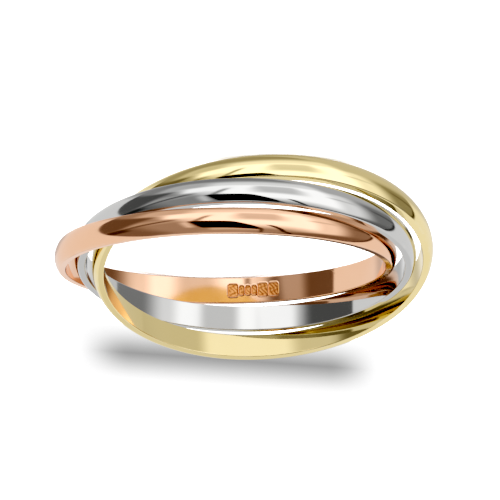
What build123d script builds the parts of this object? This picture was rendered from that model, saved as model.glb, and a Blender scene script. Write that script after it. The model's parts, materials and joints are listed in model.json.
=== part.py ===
from build123d import *
from itertools import accumulate
from math import acos, asin, cos, degrees, radians, sin
import os

# A rolling ring: three equal D-section bands, each passing through the other two.
# The stack lies on its side. X runs along the line on which the bands cross,
# Y across it and Z up. The origin is on the surface, below the middle of the stack.
# All lengths are in millimetres and all angles in degrees.

# Section of every band: a flat inner wall, short upright sides and a domed outside
inside_diameter = 18.8
band_width = 1.55
side_height = 0.32
dome_rise = 0.35
shoulder_radius = 0.15
edge_round = 0.05

# How the bands lie together
crossing_play = 0.42  # radial room between two bands where they cross
side_play = 0.155  # room between two bands where they lie side by side
slide = 0.25  # how far each outer band has slid along Y
outer_lean = 1.45  # how far each outer band leans along X
middle_shift = (-0.05, -0.2)  # how far the middle band has slid along X and Y
middle_tilt = 0.2  # how far the middle band tilts across X
middle_lean = 2.05  # how far the middle band leans along X

# Plain stamped fields, sunk in a row into the inner wall of the rose band
large_mark_width = 0.6
large_mark_height = 0.8
small_mark_width = 0.32
small_mark_height = 0.6
mark_gap = 0.06
mark_corner = 0.14
mark_depth = 0.06
mark_angle = 10.6  # where the middle of the row lies, from the band's +Y towards its -X

inner_radius = inside_diameter / 2
half_width = band_width / 2
large_mark = (large_mark_width, large_mark_height)
small_mark = (small_mark_width, small_mark_height)
mark_row = (large_mark, small_mark, small_mark, small_mark, large_mark, large_mark)

# The dome is one wide arc that runs into a small shoulder arc on each side
dome_radius = (half_width**2 + dome_rise**2 - 2 * half_width * shoulder_radius) / (
    2 * (dome_rise - shoulder_radius)
)
dome_half_angle = degrees(asin((half_width - shoulder_radius) / (dome_radius - shoulder_radius)))

# The bands fan out until their sides clear each other, and each outer band stands
# off along X until it clears the band that it crosses
fan = degrees(asin((band_width + side_play) / inner_radius))
stand_off = side_height + dome_rise + crossing_play

# Each outer band meets the surface at the lowest point of a shoulder arc, and that
# sets how high the centres are
slope = acos(cos(radians(fan)) * cos(radians(outer_lean)))
centre_height = (
    (inner_radius + side_height) * sin(slope)
    + (half_width - shoulder_radius) * cos(slope)
    + shoulder_radius
)


def band_plane(x, y, tilt, lean):
    """The plane that a band lies in, with its normal along the band's own axis."""
    return Plane(origin=(x, y, centre_height)).rotated((tilt, lean, 0))


def band_section(plane):
    """The D section in the half-plane that holds the band's axis and its +X."""
    with BuildSketch(Plane(origin=plane.origin, x_dir=plane.x_dir, z_dir=-plane.y_dir)) as section:
        with BuildLine():
            top_side = Line((inner_radius, half_width), (inner_radius + side_height, half_width))
            shoulder = JernArc(top_side @ 1, top_side % 1, shoulder_radius, dome_half_angle - 90)
            dome = JernArc(shoulder @ 1, shoulder % 1, dome_radius, -2 * dome_half_angle)
            low_shoulder = JernArc(dome @ 1, dome % 1, shoulder_radius, dome_half_angle - 90)
            low_side = Line(low_shoulder @ 1, (inner_radius, -half_width))
            Line(low_side @ 1, top_side @ 0)
        make_face()
        fillet(section.vertices().group_by(Axis.X)[0], edge_round)
    return section.sketch


def mark_angles():
    """Where each stamped field lies round the band, from its +Y towards its -X."""
    ends = list(accumulate(width + mark_gap for width, _ in mark_row))
    row_length = ends[-1] - mark_gap
    for end, (width, _) in zip(ends, mark_row):
        along_row = end - mark_gap - width / 2 - row_length / 2
        yield mark_angle + degrees(along_row / inner_radius)


def mark_floor(plane, angle):
    """The plane of a field's floor, square to the inner wall and facing the band's axis."""
    turned = plane.rotated((0, 0, angle))
    floor_point = turned.origin + turned.y_dir * (inner_radius + mark_depth)
    return Plane(origin=floor_point, x_dir=turned.x_dir, z_dir=-turned.y_dir)


os.makedirs("parts", exist_ok=True)

# The two outer bands are half-turn twins about the middle of the stack, so the stack
# rests level on the lowest point of each
rose_plane = band_plane(stand_off, -slide, -fan, outer_lean)
yellow_plane = band_plane(-stand_off, slide, fan, -outer_lean)
white_plane = band_plane(*middle_shift, middle_tilt, middle_lean)

with BuildPart() as rose_band:
    revolve(band_section(rose_plane), axis=Axis(rose_plane.origin, rose_plane.z_dir))
    for angle, size in zip(mark_angles(), mark_row):
        with BuildSketch(mark_floor(rose_plane, angle)):
            RectangleRounded(*size, mark_corner)
        extrude(amount=2 * mark_depth, mode=Mode.SUBTRACT)
rose_band.part.label = "rose_band"
export_step(rose_band.part, "parts/rose_band.step")

with BuildPart() as white_band:
    revolve(band_section(white_plane), axis=Axis(white_plane.origin, white_plane.z_dir))
white_band.part.label = "white_band"
export_step(white_band.part, "parts/white_band.step")

with BuildPart() as yellow_band:
    revolve(band_section(yellow_plane), axis=Axis(yellow_plane.origin, yellow_plane.z_dir))
yellow_band.part.label = "yellow_band"
export_step(yellow_band.part, "parts/yellow_band.step")

for name, plane in (("rose", rose_plane), ("white", white_plane), ("yellow", yellow_plane)):
    print(name, "centre", plane.origin, "axis", plane.z_dir)
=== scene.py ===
# %% [markdown]
# A rolling ring is three plain gold bands, rose, white and yellow, each passing through
# the other two, so that the stack rolls on and off a finger without ever coming apart.
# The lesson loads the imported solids, builds each band again as a clean polished surface,
# gives it a gold with the marks of polishing and wear, and lights the three on a pale floor.

# %% Load the frame
import bpy
import json
import numpy as np
from mathutils import Matrix


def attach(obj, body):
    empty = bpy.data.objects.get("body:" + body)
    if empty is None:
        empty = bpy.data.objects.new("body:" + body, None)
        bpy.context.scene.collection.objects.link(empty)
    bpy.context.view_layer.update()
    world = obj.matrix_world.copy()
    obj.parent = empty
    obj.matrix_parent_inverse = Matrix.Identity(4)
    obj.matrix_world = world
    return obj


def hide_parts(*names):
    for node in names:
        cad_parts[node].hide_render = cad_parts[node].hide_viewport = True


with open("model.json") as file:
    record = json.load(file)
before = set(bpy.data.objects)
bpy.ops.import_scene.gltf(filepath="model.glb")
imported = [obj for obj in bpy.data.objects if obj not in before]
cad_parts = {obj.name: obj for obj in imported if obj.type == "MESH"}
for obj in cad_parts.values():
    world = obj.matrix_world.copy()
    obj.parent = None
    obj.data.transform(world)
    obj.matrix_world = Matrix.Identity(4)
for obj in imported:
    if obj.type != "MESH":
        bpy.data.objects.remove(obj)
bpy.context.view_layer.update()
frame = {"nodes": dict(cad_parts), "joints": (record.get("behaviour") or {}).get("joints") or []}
MM = 0.001

# %% [markdown]
# Every band turns about its own axis, and the joints of the two outer bands give their
# centres and axes. The middle band has no joint, so its place is measured on its solid:
# the centre is the mean of its faces weighted by area, and the axis is the direction
# in which those faces spread least.

# %% Find each band's centre and axis
def measure_ring(node):
    """Centre and axis of a ring. The centre is the sum of face centres times face areas
    over the sum of the areas. The axis is the eigenvector of the least spread about it."""
    mesh = frame["nodes"][node].data
    count = len(mesh.polygons)
    centres, areas = np.empty(count * 3), np.empty(count)
    mesh.polygons.foreach_get("center", centres)
    mesh.polygons.foreach_get("area", areas)
    centres = centres.reshape(-1, 3)
    middle = areas @ centres / areas.sum()
    spread = (centres - middle).T @ ((centres - middle) * areas[:, None])
    axis = np.linalg.eigh(spread)[1][:, 0]
    return middle, axis * np.sign(axis[2])


places = {
    joint["child"]: (np.array(joint["pos_m"], float), np.array(joint["axis"], float))
    for joint in frame["joints"]
}
places["middle"] = measure_ring("white_band")
for body, (middle, axis) in places.items():
    print(body, "centre mm", (middle / MM).round(4), "axis", axis.round(5))

# %% [markdown]
# All three bands share one D section: a flat wall inside, low flat sides, a small round
# shoulder and a wide low dome outside. A section drawn by the direction of its normal
# is exact: on an arc the point moves as the normal turns, and on a flat it runs straight
# between two arcs. A row close beside every arc keeps the flats flat in the reflections.

# %% Draw the section of a band
INSIDE_RADIUS, WIDTH, SIDE, RISE = 9.4 * MM, 1.55 * MM, 0.32 * MM, 0.35 * MM
SHOULDER, EDGE = 0.15 * MM, 0.05 * MM
EDGE_STEPS, SIDE_STEPS, SHOULDER_STEPS, DOME_STEPS, PLAIN_WALL_STEPS = 6, 3, 10, 32, 12
half = WIDTH / 2
DOME = (half**2 + RISE**2 - 2 * half * SHOULDER) / (2 * (RISE - SHOULDER))
dome_turn = np.arcsin((half - SHOULDER) / (DOME - SHOULDER))


def arc(centre, radius, start, stop, steps):
    """Points of an arc, each at the centre plus the radius along the normal's angle."""
    turn = np.linspace(start, stop, steps + 1)
    return np.column_stack([centre[0] + radius * np.cos(turn), centre[1] + radius * np.sin(turn)])


def flat(start, stop, steps, guard=0.012 * MM):
    """Points inside a straight run: one a short guard from each end, and even steps between."""
    start, stop = np.array(start), np.array(stop)
    along = (stop - start) / np.linalg.norm(stop - start) * guard
    share = np.linspace(0, 1, steps + 1)[:, None]
    return (start + along) * (1 - share) + (stop - along) * share


def section(wall_steps):
    """The D section as radius and height, from the top of the inner wall outwards and round.
    The returned wall is the range of its points that lie on the flat inner wall."""
    outer = INSIDE_RADIUS + SIDE
    top = np.vstack([
        arc((INSIDE_RADIUS + EDGE, half - EDGE), EDGE, np.pi, np.pi / 2, EDGE_STEPS),
        flat((INSIDE_RADIUS + EDGE, half), (outer, half), SIDE_STEPS),
        arc((outer, half - SHOULDER), SHOULDER, np.pi / 2, dome_turn, SHOULDER_STEPS)[:-1],
    ])
    dome = arc((outer + RISE - DOME, 0), DOME, dome_turn, -dome_turn, DOME_STEPS)
    bottom = top[::-1] * (1, -1)
    wall = flat((INSIDE_RADIUS, EDGE - half), (INSIDE_RADIUS, half - EDGE), wall_steps)
    outline = np.vstack([top, dome, bottom, wall])
    return outline, np.arange(len(outline) - len(wall), len(outline))


outline, _ = section(PLAIN_WALL_STEPS)
print("section mm", (outline.min(0) / MM).round(3), (outline.max(0) / MM).round(3),
      "points", len(outline))

# %% [markdown]
# A band is that section carried round its axis, which a lathe does with a real one. As a
# grid of turn and section point, each vertex is the centre, plus the radius along the
# turned arm, plus the height along the axis. The map keeps lengths: one unit is a
# millimetre round the band and across its section, so a polish line keeps its scale.

# %% Carry the section round the axis
def band_mesh(name, body, outline, turns, lift=0.0):
    """A closed band. Point = centre + (radius - lift) * (x cos turn + y sin turn) + height * axis,
    where y is square to the axis and to the crossing line X, and x completes them."""
    middle, axis = places[body]
    side = np.cross(axis, (1, 0, 0))
    side /= np.linalg.norm(side)
    front = np.cross(side, axis)
    arm = np.cos(turns)[:, None] * front + np.sin(turns)[:, None] * side
    radius = outline[None, :, 0] - lift
    radius = np.broadcast_to(radius, (len(turns), len(outline)))
    points = middle + radius[..., None] * arm[:, None] + outline[None, :, 1, None] * axis
    rows, columns = radius.shape
    i, j = np.meshgrid(np.arange(rows), np.arange(columns), indexing="ij")
    corner = [(i, j), (i, j + 1), (i + 1, j + 1), (i + 1, j)]
    quads = np.stack([(a % rows) * columns + b % columns for a, b in corner], -1).reshape(-1, 4)
    mesh = bpy.data.meshes.new(name)
    mesh.from_pydata(points.reshape(-1, 3), [], quads.tolist())
    mesh.polygons.foreach_set("use_smooth", np.ones(len(quads), bool))
    step = np.linalg.norm(np.diff(np.vstack([outline, outline[:1]]), axis=0), axis=1)
    across = np.concatenate([[0], np.cumsum(step)]) / MM
    along = np.append(turns, turns[0] + 2 * np.pi) * INSIDE_RADIUS / MM
    uv = np.stack([np.stack([along[a], across[b]], -1) for a, b in corner], -2)
    layer = mesh.uv_layers.new(name="round_and_across")
    layer.data.foreach_set("uv", uv.astype(np.float32).ravel())
    mesh.update()
    band = bpy.data.objects.new(name, mesh)
    bpy.context.scene.collection.objects.link(band)
    return band


def signed_volume(mesh):
    """The volume inside a closed mesh, positive when its faces point outwards."""
    mesh.calc_loop_triangles()
    co = np.empty(len(mesh.vertices) * 3)
    mesh.vertices.foreach_get("co", co)
    corners = np.empty(len(mesh.loop_triangles) * 3, int)
    mesh.loop_triangles.foreach_get("vertices", corners)
    a, b, c = co.reshape(-1, 3)[corners.reshape(-1, 3)].transpose(1, 0, 2)
    return np.einsum("ij,ij->", a, np.cross(b, c)) / 6


def print_band(band):
    """Print a band's name, its triangles and how much metal it holds."""
    volume = signed_volume(band.data) / MM**3
    print(band.name, "triangles", 2 * len(band.data.polygons), "mm3", round(volume, 2))


ROUND_STEPS = 900
even_turns = np.linspace(0, 2 * np.pi, ROUND_STEPS, endpoint=False)
white_band = band_mesh("white_gold_band", "middle", outline, even_turns)
yellow_band = band_mesh("yellow_gold_band", "yellow", outline, even_turns)
for band in (white_band, yellow_band):
    print_band(band)

# %% [markdown]
# The rose band carries a row of small stamped fields on its inner wall. A punch pushes
# metal down and raises a little rim round the field. Here the wall is a height map on
# the band's own grid: a rounded box gives the distance to each field's edge, the floor
# sinks inside it, the rim rises outside it, and the floor keeps low uneven waves. The fields
# stay bare. How far a point lies inside a field is kept on the mesh, for the darker floors.

# %% Stamp the row of plain fields
LARGE, SMALL = (0.6 * MM, 0.8 * MM), (0.32 * MM, 0.6 * MM)
ROW = (LARGE, SMALL, SMALL, SMALL, LARGE, LARGE)
GAP, CORNER, SUNK = 0.06 * MM, 0.14 * MM, 0.06 * MM
FIELD_OUT, FIELD_IN = 0.01 * MM, -0.035 * MM
RIM_HEIGHT, RIM_PLACE, RIM_WIDTH = 0.021 * MM, 0.015 * MM, 0.022 * MM
WAVE_DEPTH, WAVE_RUN, CROSS_RUN, SLANT_RUN = 0.006 * MM, 0.052 * MM, 0.06 * MM, 0.13 * MM
BEND, BEND_RUN, FIELD_RUN = 1.3, 0.09 * MM, 0.17 * MM
ROW_ANGLE = np.radians(90 + 10.6)


def edge_distance(x, y, width, height, corner):
    """How far a point is outside a box with round corners: negative inside it."""
    dx, dy = np.abs(x) - width / 2 + corner, np.abs(y) - height / 2 + corner
    beside = np.hypot(np.maximum(dx, 0), np.maximum(dy, 0))
    return beside + np.minimum(np.maximum(dx, dy), 0) - corner


def ease(low, high, value):
    """0 below low, 1 above high, and a smooth step between them."""
    share = np.clip((value - low) / (high - low), 0, 1)
    return share * share * (3 - 2 * share)


def stamped_wall(along, height):
    """The wall's height above its flat, and how far it is inside a field from 0 to 1."""
    ends = np.cumsum([width + GAP for width, _ in ROW])
    relief = np.zeros(np.broadcast_shapes(along.shape, height.shape))
    inside = np.zeros_like(relief)
    for end, (width, tall) in zip(ends, ROW):
        middle = end - GAP - width / 2 - (ends[-1] - GAP) / 2
        x = along - middle
        outside = edge_distance(x, height, width, tall, CORNER)
        field = ease(FIELD_OUT, FIELD_IN, outside)
        # The struck floor is uneven: low bent waves that cross each other
        bend = BEND * np.sin(height / BEND_RUN + end / FIELD_RUN)
        waves = np.sin(x / WAVE_RUN + bend) * np.cos(height / CROSS_RUN - x / SLANT_RUN)
        relief += field * (WAVE_DEPTH * waves - SUNK)
        relief += RIM_HEIGHT * np.exp(-((outside - RIM_PLACE) / RIM_WIDTH) ** 2)
        inside = np.maximum(inside, field)
    return relief, inside


FINE_ARC, FINE_STEPS, COARSE_STEPS, STAMPED_WALL_STEPS = np.radians(10.3), 230, 600, 52
row_turns = ROW_ANGLE + np.linspace(-FINE_ARC, FINE_ARC, FINE_STEPS, endpoint=False)
plain_turns = ROW_ANGLE + np.linspace(FINE_ARC, 2 * np.pi - FINE_ARC, COARSE_STEPS, endpoint=False)
rose_turns = np.concatenate([row_turns, plain_turns])
rose_outline, wall = section(STAMPED_WALL_STEPS)
lift, sunk = np.zeros((2, len(rose_turns), len(rose_outline)))
along = (rose_turns[:, None] - ROW_ANGLE) * INSIDE_RADIUS
in_row = np.abs(along) < FINE_ARC * INSIDE_RADIUS
lift[:, wall], sunk[:, wall] = np.where(in_row, stamped_wall(along, rose_outline[wall, 1]), 0)
rose_band = band_mesh("rose_gold_band", "rose", rose_outline, rose_turns, lift)
depth_mask = rose_band.data.attributes.new("sunk", "FLOAT", "POINT")
depth_mask.data.foreach_set("value", sunk.astype(np.float32).ravel())
print_band(rose_band)
print("stamped relief mm", (lift.min() / MM).round(3), (lift.max() / MM).round(3))

# %% [markdown]
# Each finished band rides on the body that carries its CAD solid, so a joint that turns
# the body turns the band with it. The band then stands in for that solid in the picture,
# while the solid stays behind for contact, hidden.

# %% Ride each band on its body
RIDES = (
    (rose_band, "rose", "rose_band", "rose_gold"),
    (white_band, "middle", "white_band", "white_gold"),
    (yellow_band, "yellow", "yellow_band", "yellow_gold"),
)
for band, body, node, slot in RIDES:
    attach(band, body)
    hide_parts(node)
    print(band.name, "rides on", body)

# %% [markdown]
# Materials and the studio are node trees. A tiny maker keeps them short to write: it adds
# a node, sets its values, and links any input that is given another node's output. A
# group with named inputs and outputs is an effect that every metal can use its own way.

# %% Small makers for nodes and groups
def node(tree, kind, inputs=None, **settings):
    """Add one node. An input given as a socket is linked, and any other is its value."""
    made = tree.nodes.new(kind)
    for name, value in settings.items():
        setattr(made, name, value)
    for key, value in (inputs or {}).items():
        if isinstance(value, bpy.types.NodeSocket):
            tree.links.new(value, made.inputs[key])
        else:
            made.inputs[key].default_value = value
    return made


def calc(tree, operation, *values):
    """One Math node: the operation on one, two or three values or sockets."""
    return node(tree, "ShaderNodeMath", dict(enumerate(values)), operation=operation).outputs[0]


def smooth_step(tree, value, low, high):
    """A smooth change from 0 to 1 as the value goes from low to high."""
    ends = {"Value": value, "From Min": low, "From Max": high}
    return node(tree, "ShaderNodeMapRange", ends, interpolation_type="SMOOTHSTEP").outputs[0]


def noise(tree, vector, scale, detail, **more):
    """The grey of a noise texture. Other inputs go by name, and a W makes it four-dimensional."""
    inputs = {"Vector": vector, "Scale": scale, "Detail": detail} | more
    kind = "4D" if "W" in more else "3D"
    return node(tree, "ShaderNodeTexNoise", inputs, noise_dimensions=kind).outputs["Fac"]


def new_group(name, inputs, outputs):
    """An empty group with named inputs and their usual values, and named outputs."""
    group = bpy.data.node_groups.new(name, "ShaderNodeTree")
    for label, (kind, value) in inputs.items():
        socket = group.interface.new_socket(name=label, in_out="INPUT", socket_type=kind)
        socket.default_value = value
    for label, kind in outputs.items():
        group.interface.new_socket(name=label, in_out="OUTPUT", socket_type=kind)
    first, last = group.nodes.new("NodeGroupInput"), group.nodes.new("NodeGroupOutput")
    return group, first.outputs, last.inputs


def placed(tree, group, **values):
    """The group as a node of this tree, with its own values. Underscores stand for spaces."""
    made = tree.nodes.new("ShaderNodeGroup")
    made.node_tree = group
    for key, value in values.items():
        socket = made.inputs[key.replace("_", " ")]
        if isinstance(value, bpy.types.NodeSocket):
            tree.links.new(value, socket)
        else:
            socket.default_value = value
    return made.outputs


NUMBER, VECTOR, COLOUR = "NodeSocketFloat", "NodeSocketVector", "NodeSocketColor"

# %% [markdown]
# A band is polished on a wheel that runs round it, which leaves very fine lines the same
# way. Noise in four dimensions draws them without a seam: the fourth number is the place
# across the section and changes fast, and the position on the band changes it slowly.

# %% Polish lines
CELLS_PER_METRE, FINER = 350.0, 3.1
polish_lines, given, gives = new_group(
    "polish_lines",
    {"Position": (VECTOR, (0, 0, 0)), "Across": (NUMBER, 0.0),
     "Lines per mm": (NUMBER, 18.0), "Length": (NUMBER, 1.0)},
    {"Height": NUMBER, "Fine": NUMBER})
stretch = calc(polish_lines, "DIVIDE", CELLS_PER_METRE, given["Length"])
slow = node(polish_lines, "ShaderNodeVectorMath", {0: given["Position"], "Scale": stretch},
            operation="SCALE").outputs[0]
fast = calc(polish_lines, "MULTIPLY", given["Across"], given["Lines per mm"])
faster = calc(polish_lines, "MULTIPLY", fast, FINER)
polish_lines.links.new(noise(polish_lines, slow, 1.0, 2.0, W=fast), gives["Height"])
polish_lines.links.new(noise(polish_lines, slow, 1.0, 1.0, W=faster), gives["Fine"])
print("group", polish_lines.name)

# %% [markdown]
# Bands that roll over each other rub each other, most on the shoulders and on the corners
# of the inner wall. The mask measures how near a point of the section is to such a corner,
# by its place across the section, and noise breaks it up, as real rubbing is uneven.

# %% Edge rub
RUB_SCALE, RUB_FROM, RUB_TO = 900.0, 0.42, 0.68
edge_rub, given, gives = new_group(
    "edge_rub",
    {"Position": (VECTOR, (0, 0, 0)), "Across": (NUMBER, 0.0),
     "First edge": (NUMBER, 0.5), "Second edge": (NUMBER, 2.5), "Reach": (NUMBER, 0.12)},
    {"Mask": NUMBER})
away = [calc(edge_rub, "ABSOLUTE", calc(edge_rub, "SUBTRACT", given["Across"], given[edge]))
        for edge in ("First edge", "Second edge")]
near_edge = smooth_step(edge_rub, calc(edge_rub, "MINIMUM", *away), given["Reach"], 0.0)
patchy = noise(edge_rub, given["Position"], RUB_SCALE, 4.0, Roughness=0.6)
uneven = smooth_step(edge_rub, patchy, RUB_FROM, RUB_TO)
edge_rub.links.new(calc(edge_rub, "MULTIPLY", near_edge, uneven), gives["Mask"])
print("group", edge_rub.name)

# %% [markdown]
# Worn gold carries hairlines in every direction. A wave bent by noise and cut to its
# crest gives long thin lines, a second noise keeps only a few of them, and three turned
# copies cross. They are fine and sparse here, because the ring in hand is nearly new.

# %% Hairlines
LINE_SCALE, CREST, KEPT_SCALE, KEPT_SPAN = 160.0, 0.965, 420.0, 0.1
LINE_TURNS = ((0.3, 0.9, 0.2), (1.4, -0.5, 0.8), (-0.7, 0.3, 1.9))
hairlines, given, gives = new_group(
    "hairlines",
    {"Position": (VECTOR, (0, 0, 0)), "Lines per mm": (NUMBER, 4.0), "Sparse": (NUMBER, 0.62)},
    {"Mask": NUMBER})
spacing = calc(hairlines, "MULTIPLY", given["Lines per mm"], LINE_SCALE)
clear = calc(hairlines, "ADD", given["Sparse"], KEPT_SPAN)
mask = None
for turn in LINE_TURNS:
    turned = node(hairlines, "ShaderNodeVectorRotate",
                  {"Vector": given["Position"], "Rotation": turn},
                  rotation_type="EULER_XYZ").outputs[0]
    wave = node(hairlines, "ShaderNodeTexWave",
                {"Vector": turned, "Scale": spacing, "Distortion": 3.0, "Detail": 2.0,
                 "Detail Scale": 0.15}, wave_profile="TRI").outputs["Fac"]
    kept = smooth_step(hairlines, noise(hairlines, turned, KEPT_SCALE, 2.0), given["Sparse"], clear)
    line = calc(hairlines, "MULTIPLY", smooth_step(hairlines, wave, CREST, 1.0), kept)
    mask = line if mask is None else calc(hairlines, "MAXIMUM", mask, line)
hairlines.links.new(mask, gives["Mask"])
print("group", hairlines.name)

# %% [markdown]
# An alloy is never quite one colour: it drifts a little from place to place, rubbed
# edges are paler, and the floors of stamped fields keep a darker film. The group mixes
# those tints, and its second output is a soft haze that dulls the polish in places.

# %% Alloy tint and haze
CLOUD_SCALE, CLOUD_FROM, CLOUD_TO = 260.0, 0.35, 0.7
SMEAR_SCALE, SMEAR_FROM, SMEAR_TO = 140.0, 0.45, 0.75
alloy_tint, given, gives = new_group(
    "alloy_tint",
    {"Position": (VECTOR, (0, 0, 0)), "Gold": (COLOUR, (1, 0.8, 0.4, 1)),
     "Drift": (COLOUR, (1, 0.75, 0.35, 1)), "Rubbed": (COLOUR, (1, 0.85, 0.5, 1)),
     "Film": (COLOUR, (0.4, 0.2, 0.1, 1)), "Rub": (NUMBER, 0.0), "Sunk": (NUMBER, 0.0)},
    {"Color": COLOUR, "Haze": NUMBER})
cloud = noise(alloy_tint, given["Position"], CLOUD_SCALE, 3.0, Roughness=0.55)
drifted = smooth_step(alloy_tint, cloud, CLOUD_FROM, CLOUD_TO)
colour = given["Gold"]
for share, other in ((drifted, given["Drift"]), (given["Rub"], given["Rubbed"]),
                     (given["Sunk"], given["Film"])):
    mix = node(alloy_tint, "ShaderNodeMix", {0: share, 6: colour, 7: other}, data_type="RGBA")
    colour = mix.outputs[2]
alloy_tint.links.new(colour, gives["Color"])
smear = noise(alloy_tint, given["Position"], SMEAR_SCALE, 5.0, Roughness=0.65)
alloy_tint.links.new(smooth_step(alloy_tint, smear, SMEAR_FROM, SMEAR_TO), gives["Haze"])
print("group", alloy_tint.name)

# %% [markdown]
# The three golds share one recipe. The metal is pure reflection, so its Base Color is the
# tint of the mirror: copper makes rose, silver and copper balance yellow, and palladium
# under a thin plating makes the grey of white gold. Roughness is a near mirror, raised by
# haze, rub and hairlines, and the bump is less than half a thousandth of a millimetre deep.

# %% The three polished golds
across_of = np.concatenate([[0], np.cumsum(np.linalg.norm(np.diff(outline, axis=0), axis=1))]) / MM


def across_at(radius, height):
    """The place across the section, in millimetres, of its point nearest to a radius and height."""
    return across_of[np.argmin(np.hypot(*(outline - (radius, height)).T))]


ON_SHOULDER = INSIDE_RADIUS + SIDE + 0.09 * MM
SHOULDER_TOP = across_at(ON_SHOULDER, half - 0.03 * MM)
SHOULDER_LOW = across_at(ON_SHOULDER, 0.03 * MM - half)
WALL_TOP, WALL_LOW = 0.05, across_at(INSIDE_RADIUS, EDGE - half)
SHOULDER_REACH, CORNER_REACH = 0.16, 0.09


def polished_gold(name, gold, drift, rubbed, film, polish):
    """A metal whose tint, roughness and bump come from the shared groups."""
    material = bpy.data.materials.new(name)
    material.use_nodes = True
    tree = material.node_tree
    shader = tree.nodes["Principled BSDF"]
    shader.inputs["Metallic"].default_value = 1.0
    position = node(tree, "ShaderNodeTexCoord").outputs["Object"]
    laid = node(tree, "ShaderNodeUVMap", uv_map="round_and_across").outputs[0]
    across = node(tree, "ShaderNodeSeparateXYZ", {0: laid}).outputs["Y"]
    sunk = node(tree, "ShaderNodeAttribute", attribute_name="sunk").outputs["Fac"]
    lines = placed(tree, polish_lines, Position=position, Across=across,
                   Lines_per_mm=polish["lines"], Length=polish["length"])
    shoulder = placed(tree, edge_rub, Position=position, Across=across,
                      First_edge=SHOULDER_TOP, Second_edge=SHOULDER_LOW, Reach=SHOULDER_REACH)
    corner = placed(tree, edge_rub, Position=position, Across=across,
                    First_edge=WALL_TOP, Second_edge=WALL_LOW, Reach=CORNER_REACH)
    worn = calc(tree, "MAXIMUM", shoulder["Mask"], corner["Mask"])
    rub = calc(tree, "MULTIPLY", worn, polish["rub"])
    scratch = placed(tree, hairlines, Position=position,
                     Lines_per_mm=polish["hairs"], Sparse=polish["sparse"])["Mask"]
    tint = placed(tree, alloy_tint, Position=position, Gold=gold, Drift=drift,
                  Rubbed=rubbed, Film=film, Rub=rub, Sunk=sunk)
    tree.links.new(tint["Color"], shader.inputs["Base Color"])
    rough = calc(tree, "MULTIPLY_ADD", tint["Haze"], polish["haze"], polish["mirror"])
    for mask, amount in ((lines["Fine"], "fine"), (rub, "rub_rough"), (scratch, "scratch"),
                         (sunk, "film_rough")):
        rough = calc(tree, "MULTIPLY_ADD", mask, polish[amount], rough)
    tree.links.new(rough, shader.inputs["Roughness"])
    raised = calc(tree, "MULTIPLY", lines["Height"], polish["relief"])
    height = calc(tree, "MULTIPLY_ADD", scratch, -1.0, raised)
    bump = node(tree, "ShaderNodeBump",
                {"Strength": 1.0, "Distance": polish["depth"] * MM, "Height": height})
    tree.links.new(bump.outputs[0], shader.inputs["Normal"])
    print(name, "nodes", len(tree.nodes))
    return material


POLISH = {"lines": 14.0, "length": 1.0, "rub": 0.6, "hairs": 1.0, "sparse": 0.6, "haze": 0.03,
          "mirror": 0.055, "fine": 0.02, "scratch": 0.06, "rub_rough": 0.12, "film_rough": 0.22,
          "relief": 0.25, "depth": 0.0004}
# Each gold has four colours, its own, its drift, its rubbed edges and its film, and what it
# changes in the polish
GOLDS = {
    "rose_gold": (((1.0, 0.608, 0.42, 1), (0.985, 0.585, 0.395, 1),
                   (1.0, 0.67, 0.5, 1), (0.78, 0.38, 0.19, 1)), {}),
    "white_gold": (((0.66, 0.657, 0.645, 1), (0.645, 0.645, 0.638, 1),
                    (0.75, 0.74, 0.72, 1), (0.3, 0.29, 0.27, 1)), {"lines": 16.0, "haze": 0.04}),
    "yellow_gold": (((1.0, 0.82, 0.445, 1), (0.985, 0.8, 0.42, 1),
                     (1.0, 0.88, 0.58, 1), (0.6, 0.4, 0.12, 1)), {"length": 1.3}),
}
for band, _, _, slot in RIDES:
    colours, changes = GOLDS[slot]
    band.data.materials.append(polished_gold(slot, *colours, POLISH | changes))

# %% [markdown]
# Polished metal shows its surroundings, so its looks are made by the studio as much as by
# the gold. The ring stands in a small round tent of white cloth with grey panels, black
# cards and a bright front. Each panel is a soft box drawn by two angles: the azimuth
# round the ring, 0 to the front, and the elevation. A grey of 1 is the brightest
# that still holds colour in the picture, and each 0.23 less is half the light.

# %% The soft panel group
PANEL = ("Left", "Left slope", "Right", "Right slope", "Bottom", "Bottom slope",
         "Top", "Top slope", "Side soft", "End soft", "Grey")
soft_panel, given, gives = new_group(
    "soft_panel",
    {label: (NUMBER, 0.0) for label in ("Under", "Azimuth", "Elevation", *PANEL)},
    {"Grey": NUMBER})
azimuth, elevation = given["Azimuth"], given["Elevation"]
cover = None
for label, sign, soft, place, along in (("Left", 1.0, "Side soft", azimuth, elevation),
                                        ("Right", -1.0, "Side soft", azimuth, elevation),
                                        ("Bottom", 1.0, "End soft", elevation, azimuth),
                                        ("Top", -1.0, "End soft", elevation, azimuth)):
    edge = calc(soft_panel, "MULTIPLY_ADD", given[label + " slope"], along, given[label])
    inside = calc(soft_panel, "MULTIPLY", calc(soft_panel, "SUBTRACT", place, edge), sign)
    half_soft = calc(soft_panel, "MULTIPLY", given[soft], 0.5)
    minus_soft = calc(soft_panel, "MULTIPLY", half_soft, -1.0)
    share = smooth_step(soft_panel, inside, minus_soft, half_soft)
    cover = share if cover is None else calc(soft_panel, "MULTIPLY", cover, share)
change = calc(soft_panel, "SUBTRACT", given["Grey"], given["Under"])
laid = calc(soft_panel, "MULTIPLY_ADD", change, cover, given["Under"])
soft_panel.links.new(laid, gives["Grey"])
print("group", soft_panel.name)

# %% [markdown]
# The panels come in three sets. The room is the plain cloth, darker low down and to the
# sides. The window is one large grey field round the front with panels of its own. The last
# set stands behind the ring. Within a set each panel lies over the ones before it.

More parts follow.
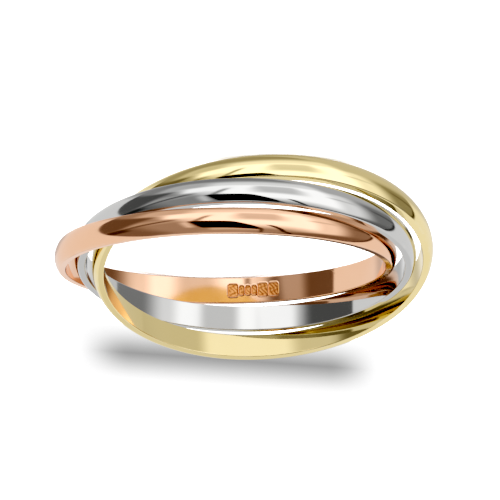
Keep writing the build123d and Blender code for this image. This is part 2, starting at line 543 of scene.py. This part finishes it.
# %% The panels
# left, slope, right, slope, bottom, slope, top, slope, side softness, end softness, grey
CLOTH_GREY, WINDOW_GREY = 0.92, 0.62
WINDOW = (-108.6, 0.13, 84.3, -0.2, -100, 0, 85, 0, 2.5, 8)
ROOM_PANELS = {
    "out_left": (-155, 0, -40, 0, -110, 0, -24, 0, 30, 16, 0.78),
    "out_low": (-250, 0, 250, 0, -110, 0, -66, 0, 30, 14, 0.69),
    "out_right": (60, 0, 128, 0, -110, 0, -52, 0, 30, 12, 0.64),
}
WINDOW_PANELS = {
    "low": (-130, 0, 130, 0, -110, 0, -62, 0, 30, 22, 0.6),
    "low_grey": (-150, 0, -60, 0, -75, 0, -25, 0, 34, 14, 0.72),
    "left_grey": (-130, 0.2, -83.1, -0.26, -24, 0, 30, 0, 16, 10, 0.55),
    "light": (-81.7, -0.3, 30, -0.5, -58, 0, 37, 0, 22, 22, 0.97),
    "bright": (-60, -0.2, 16, -0.35, -36, 0, 24, 0, 12, 12, 1.12),
    "right_light": (5, 0, 41, 0.1, -34, 0, -13, 0, 10, 12, 1.1),
    "right_low": (25, 0, 64, 0, -58, 0, -36, 0, 18, 8, 0.8),
    "low_left": (-150, 0, -56, 0, -110, 0, -32, 0, 14, 10, 0.78),
    "patch": (-34, 0, -7, 0, -32, 0, -17, 0, 9, 9, 0.89),
    "patch_high": (-36, 0, -6, 0, -22, 0, 0, 0, 16, 14, 0.87),
    "left_high": (-130, 0, -52, 0, 92, 0.8, 100, 0, 14, 14, 0.46),
    "high": (-22, 0, 68, 0, 52, 0, 90, 0, 20, 8, 0.67),
    "right_high": (30, 0, 110, 0, 2, 0, 60, 0, 10, 14, 0.62),
    "right_edge": (60, -0.2, 110, -0.2, 2, 0, 50, 0, 18, 16, 0.47),
    "right_mid": (34, 0, 110, 0, -13, 0, 4, 0, 12, 8, 0.71),
    "right_dark": (69, 0.8, 110, -0.2, -8, -0.45, -8, 0.12, 12, 8, 0.4),
    "dark_line": (34, 0, 95, 0, -19, 0.3, -15.6, 0.34, 14, 4, 0.4),
    "corner": (69, -0.2, 95, -0.2, 2, 0, 14, 0, 9, 7, 0.2),
    "glow": (-28, 0, 16, 0, 41, 0, 51, 0, 8, 6, 0.79),
    "flare": (24.5, 0, 30, 0, 8, 0, 34, 0, 6, 8, 0.88),
    "arm": (16.4, 0.37, 20.4, 0.37, -20, 0, 9, 0, 4, 14, 0.62),
    "card": (4.6, -0.73, 25, -0.15, 10, -0.22, 40.5, -0.18, 4.5, 5, -0.25),
    "seam": (-6.2, -0.48, -2.8, -0.48, 38, 0, 85, 0, 3, 6, 0.3),
    "long_seam": (-11, -0.82, -6.6, -0.82, 24, 0, 49, 0, 3, 5, 0.1),
    "long_seam_end": (36.5, -1.87, 43.5, -1.87, 47, 0, 75, 0, 4, 4, 0.08),
    "left_line": (-108.6, 0.13, -106, 0.13, -9, 0, 27, 0, 2, 6, 0.2),
    "low_line": (-118, 0, -88, 0, -15.5, 0, -11.5, 0, 10, 5, 0.4),
    "low_trace": (-74, 0, -54, 0, -15, 0, -10, 0, 10, 5, 0.85),
}
BACK_PANELS = {
    "behind": (181, 0, 191, 0, -38, 0, 10, 0, 6, 14, 0.35),
    "behind_side": (146, 0, 164, 0, -33, 0, -20, 0, 18, 6, 0.78),
    "behind_high": (150, 0, 205, 0, 12, 0, 30, 0, 16, 8, 0.87),
    "behind_top": (170, 0, 187, 0, 36, 0, 70, 0, 10, 6, 0.85),
}
print("panels", len(ROOM_PANELS), len(WINDOW_PANELS), len(BACK_PANELS))

# %% [markdown]
# The tent is a ball of cloth that only mirror rays see. Its grey comes from the direction
# in which it lies from the ring: the room first, then the window with its own panels, then
# what stands behind. The last grey is turned into light.

# %% The tent
TENT_RADIUS, TONE_STEP = 90 * MM, 0.23
STACK_MIDDLE = (places["rose"][0][2] + places["yellow"][0][2]) / 2


def tent_cloth(steps=48):
    """A ball round the ring. Point = middle + radius * (cos up cos round, cos up sin round,
    sin up)."""
    up = np.linspace(-np.pi / 2, np.pi / 2, steps + 1)[1:-1]
    turn = np.linspace(0, 2 * np.pi, 2 * steps, endpoint=False)
    up, turn = np.meshgrid(up, turn, indexing="ij")
    ball = np.stack([np.cos(up) * np.cos(turn), np.cos(up) * np.sin(turn), np.sin(up)], -1)
    ball = ball.reshape(-1, 3)
    points = np.vstack([ball, (0, 0, -1), (0, 0, 1)]) * TENT_RADIUS + (0, 0, STACK_MIDDLE)
    rows, columns = up.shape
    i, j = np.meshgrid(np.arange(rows - 1), np.arange(columns), indexing="ij")

    def at(row, column):
        """The number of a point, where the columns close round the ball."""
        return row * columns + column % columns

    quads = np.stack([at(i, j), at(i, j + 1), at(i + 1, j + 1), at(i + 1, j)], -1).reshape(-1, 4)
    j = np.arange(columns)
    low = np.stack([at(0, j + 1), at(0, j), np.full(columns, len(ball))], -1)
    high = np.stack([at(rows - 1, j), at(rows - 1, j + 1), np.full(columns, len(ball) + 1)], -1)
    mesh = bpy.data.meshes.new("tent_cloth")
    mesh.from_pydata(points, [], quads.tolist() + low.tolist() + high.tolist())
    tent = bpy.data.objects.new("tent_cloth", mesh)
    bpy.context.scene.collection.objects.link(tent)
    return tent


def tent_light():
    """The tent's glow: the window of panels laid into the room, what stands behind the ring
    laid over both, and light = 2 to the power (grey - 1) / tone step."""
    material = bpy.data.materials.new("tent_light")
    material.use_nodes = True
    tree = material.node_tree
    tree.nodes.remove(tree.nodes["Principled BSDF"])
    position = node(tree, "ShaderNodeTexCoord").outputs["Object"]
    off = node(tree, "ShaderNodeVectorMath", {0: position, 1: (0, 0, STACK_MIDDLE)},
               operation="SUBTRACT").outputs[0]
    way = node(tree, "ShaderNodeVectorMath", {0: off}, operation="NORMALIZE").outputs[0]
    x, y, z = node(tree, "ShaderNodeSeparateXYZ", {0: way}).outputs
    azimuth = calc(tree, "DEGREES", calc(tree, "ARCTAN2", x, calc(tree, "MULTIPLY", y, -1.0)))
    elevation = calc(tree, "DEGREES", calc(tree, "ARCSINE", z))
    around = calc(tree, "FLOORED_MODULO", azimuth, 360.0)

    def lay(panels, grey, turn):
        """Each panel in its order, over what lies under it."""
        for values in panels:
            grey = placed(tree, soft_panel, Under=grey, Azimuth=turn, Elevation=elevation,
                          **dict(zip(PANEL, values)))[0]
        return grey

    room = lay(ROOM_PANELS.values(), CLOTH_GREY, azimuth)
    inside = lay(WINDOW_PANELS.values(), WINDOW_GREY, azimuth)
    grey = lay([(*WINDOW, inside)], room, azimuth)
    grey = lay(BACK_PANELS.values(), grey, around)
    stops = calc(tree, "DIVIDE", calc(tree, "SUBTRACT", grey, 1.0), TONE_STEP)
    light = calc(tree, "POWER", 2.0, stops)
    glow = node(tree, "ShaderNodeEmission", {"Strength": light})
    tree.links.new(glow.outputs[0], tree.nodes["Material Output"].inputs["Surface"])
    material.cycles.emission_sampling = "NONE"
    return material


tent = tent_cloth()
tent.data.materials.append(tent_light())
for ray in ("camera", "diffuse", "transmission", "volume_scatter", "shadow"):
    setattr(tent, "visible_" + ray, False)
print("tent panels", len(ROOM_PANELS) + len(WINDOW_PANELS) + len(BACK_PANELS))

# %% [markdown]
# The floor is a wide pale sheet that is lit to white. The soft shadow behind the ring is a
# painted shadow in the sheet's colour, where a shadow flag would cast one: a strip with soft
# sides and soft ends. Mirror rays miss the floor and see the lower half of the tent instead.

# %% The pale floor with its painted shadow
def floor_sheet(size=3.0):
    """A square sheet through the origin: its corners are plus and minus half the size."""
    corner = np.array([(-1, -1, 0), (1, -1, 0), (1, 1, 0), (-1, 1, 0)]) * size / 2
    mesh = bpy.data.meshes.new("floor_sheet")
    mesh.from_pydata(corner.tolist(), [], [(0, 1, 2, 3)])
    sheet = bpy.data.objects.new("floor_sheet", mesh)
    bpy.context.scene.collection.objects.link(sheet)
    return sheet


# The painted shadow on the floor: the middle and turn of its strip, its half width, softness, depth
# and ends
SHADE_MIDDLE, SHADE_TURN = (3.25 * MM, 21.39 * MM), 1.307
SHADE_HALF, SHADE_SOFT, SHADE_DEPTH = 1.208 * MM, 5.73, 0.515
SHADE_ENDS, SHADE_END_SOFT = (-7.02 * MM, 8.5 * MM), 3.405 * MM
SPARE_LIGHT, SPARE_SPAN = 0.44, 0.008
PAPER_GREY, PAPER_GRAIN, GRAIN_SCALE = 0.79, 0.02, 4000.0


def pale_floor_with_painted_shadow():
    """A matt sheet with a fine grain. A painted shadow darkens its colour in a strip across the
    floor.
    """
    material = bpy.data.materials.new("pale_floor_with_painted_shadow")
    material.use_nodes = True
    tree = material.node_tree
    shader = tree.nodes["Principled BSDF"]
    position = node(tree, "ShaderNodeTexCoord").outputs["Object"]
    x, y, _ = node(tree, "ShaderNodeSeparateXYZ", {0: position}).outputs
    off_x = calc(tree, "SUBTRACT", x, SHADE_MIDDLE[0])
    off_y = calc(tree, "SUBTRACT", y, SHADE_MIDDLE[1])
    turned_x = calc(tree, "MULTIPLY", off_y, float(np.sin(SHADE_TURN)))
    along = calc(tree, "MULTIPLY_ADD", off_x, float(np.cos(SHADE_TURN)), turned_x)
    away = calc(tree, "DIVIDE", calc(tree, "ABSOLUTE", along), SHADE_HALF)
    strip = smooth_step(tree, away, 1 + SHADE_SOFT / 2, 1 - SHADE_SOFT / 2)
    soft = SHADE_END_SOFT / 2
    first_end = smooth_step(tree, x, SHADE_ENDS[0] - soft, SHADE_ENDS[0] + soft)
    last_end = smooth_step(tree, x, SHADE_ENDS[1] + soft, SHADE_ENDS[1] - soft)
    ends = calc(tree, "MULTIPLY", first_end, last_end)
    # Painted shadow: the soft strip and its ends darken the sheet's base colour
    shade = calc(tree, "MULTIPLY", calc(tree, "MULTIPLY", strip, ends), SHADE_DEPTH)
    # The open floor is lit past white, so the painted shadow has to use up that spare light first
    spare = calc(tree, "MULTIPLY", smooth_step(tree, shade, 0.0, SPARE_SPAN), SPARE_LIGHT)
    stops = calc(tree, "DIVIDE", calc(tree, "ADD", shade, spare), -TONE_STEP)
    dim = calc(tree, "POWER", 2.0, stops)
    grain = noise(tree, position, GRAIN_SCALE, 3.0)
    paper_and_painted_shadow = calc(tree, "MULTIPLY", dim, calc(tree, "MULTIPLY_ADD", grain, PAPER_GRAIN, PAPER_GREY))
    colour = node(tree, "ShaderNodeCombineColor", {0: paper_and_painted_shadow, 1: paper_and_painted_shadow, 2: paper_and_painted_shadow}).outputs[0]
    tree.links.new(colour, shader.inputs["Base Color"])
    shader.inputs["Roughness"].default_value = 0.9
    shader.inputs["Specular IOR Level"].default_value = 0.0
    return material


floor = floor_sheet()
floor.data.materials.append(pale_floor_with_painted_shadow())
floor.visible_glossy = False
print("floor size m", tuple(floor.dimensions))

# %% [markdown]
# Two plain lights brighten the floor: a wide soft box high above it, and the even white
# of the room. Mirror rays see neither, because the tent stands between. The room is bright
# enough that the open floor is pure white. Only the painted shadow and the real shade under
# the bands are darker.

# %% Soft box and room
overhead = bpy.data.lights.new("soft_box", "AREA")
overhead.shape, overhead.size = "DISK", 0.5
overhead.energy = 2.1
soft_box = bpy.data.objects.new("soft_box", overhead)
soft_box.location = (0, 0, 0.4)
soft_box.visible_glossy = soft_box.visible_camera = False
bpy.context.scene.collection.objects.link(soft_box)

world = bpy.data.worlds.new("room")
world.use_nodes = True
world.node_tree.nodes["Background"].inputs["Color"].default_value = (1, 1, 1, 1)
world.node_tree.nodes["Background"].inputs["Strength"].default_value = 4.0
bpy.context.scene.world = world
print("lights", soft_box.name, world.name)

# %% [markdown]
# The picture has the hard contrast of a catalogue print: its tone falls by the same step
# each time the light halves. A tone curve on the plain view gives that, with the same
# 0.23 step as the panels, so a panel of grey 0.6 looks 0.6 in a perfect mirror.

# %% Tone curve
def print_tone(light):
    """Linear value of the tone 1 + 0.23 * log2(light), where dark tones end at black."""
    tone = np.maximum(1 + TONE_STEP * np.log2(light), 0)
    return np.where(tone <= 0.04045, tone / 12.92, ((tone + 0.055) / 1.055) ** 2.4)


view = bpy.context.scene.view_settings
view.view_transform, view.look, view.exposure, view.gamma = "Standard", "None", 0.0, 1.0
view.use_curve_mapping = True
curve = view.curve_mapping.curves[3]  # the curve that acts on all three colours
for light in (0.05, 0.0625, 0.08, 0.1, 0.125, 0.18, 0.25, 0.35, 0.5, 0.7):
    curve.points.new(light, float(print_tone(light)))
view.curve_mapping.update()
print("tone points", len(curve.points))

# %% [markdown]
# The camera stands 47 centimetres away and 23 degrees above the floor, square to the line
# on which the bands cross. It is turned upside down, as the picture is: the near side of
# the stack is at the top of the picture. A long lens keeps the bands' ovals true.

# %% Camera
DISTANCE_MM, PIXELS_PER_MM, PICTURE_PIXELS = 471.75, 17.005, 500


def camera_at(azimuth, elevation, roll, distance, aim, f_pixels):
    """A camera that looks at the middle of the stack. Its forward direction comes from the
    azimuth and elevation, right is forward crossed with up, and both turn by the roll."""
    a, e, r = np.radians([azimuth, elevation, roll])
    forward = -np.array([np.sin(a) * np.cos(e), -np.cos(a) * np.cos(e), np.sin(e)])
    right = np.cross(forward, (0, 0, 1))
    right /= np.linalg.norm(right)
    down = np.cross(forward, right)
    right, down = right * np.cos(r) - down * np.sin(r), right * np.sin(r) + down * np.cos(r)
    data = bpy.data.cameras.new("camera")
    data.lens = f_pixels / PICTURE_PIXELS * data.sensor_width
    data.clip_start, data.clip_end = 0.01, 10
    camera = bpy.data.objects.new("camera", data)
    centre = np.array([0, 0, STACK_MIDDLE])
    place = centre - (aim[0] * right + aim[1] * down + distance * forward)
    matrix = np.eye(4)
    matrix[:3] = np.column_stack([right, -down, -forward, place])
    camera.matrix_world = Matrix(matrix)
    bpy.context.scene.collection.objects.link(camera)
    bpy.context.scene.camera = camera
    return camera


camera = camera_at(azimuth=1.104, elevation=22.939, roll=177.807, distance=DISTANCE_MM * MM,
                   aim=(-0.343 * MM, 0.454 * MM), f_pixels=PIXELS_PER_MM * DISTANCE_MM)
print("lens mm", round(camera.data.lens, 1))
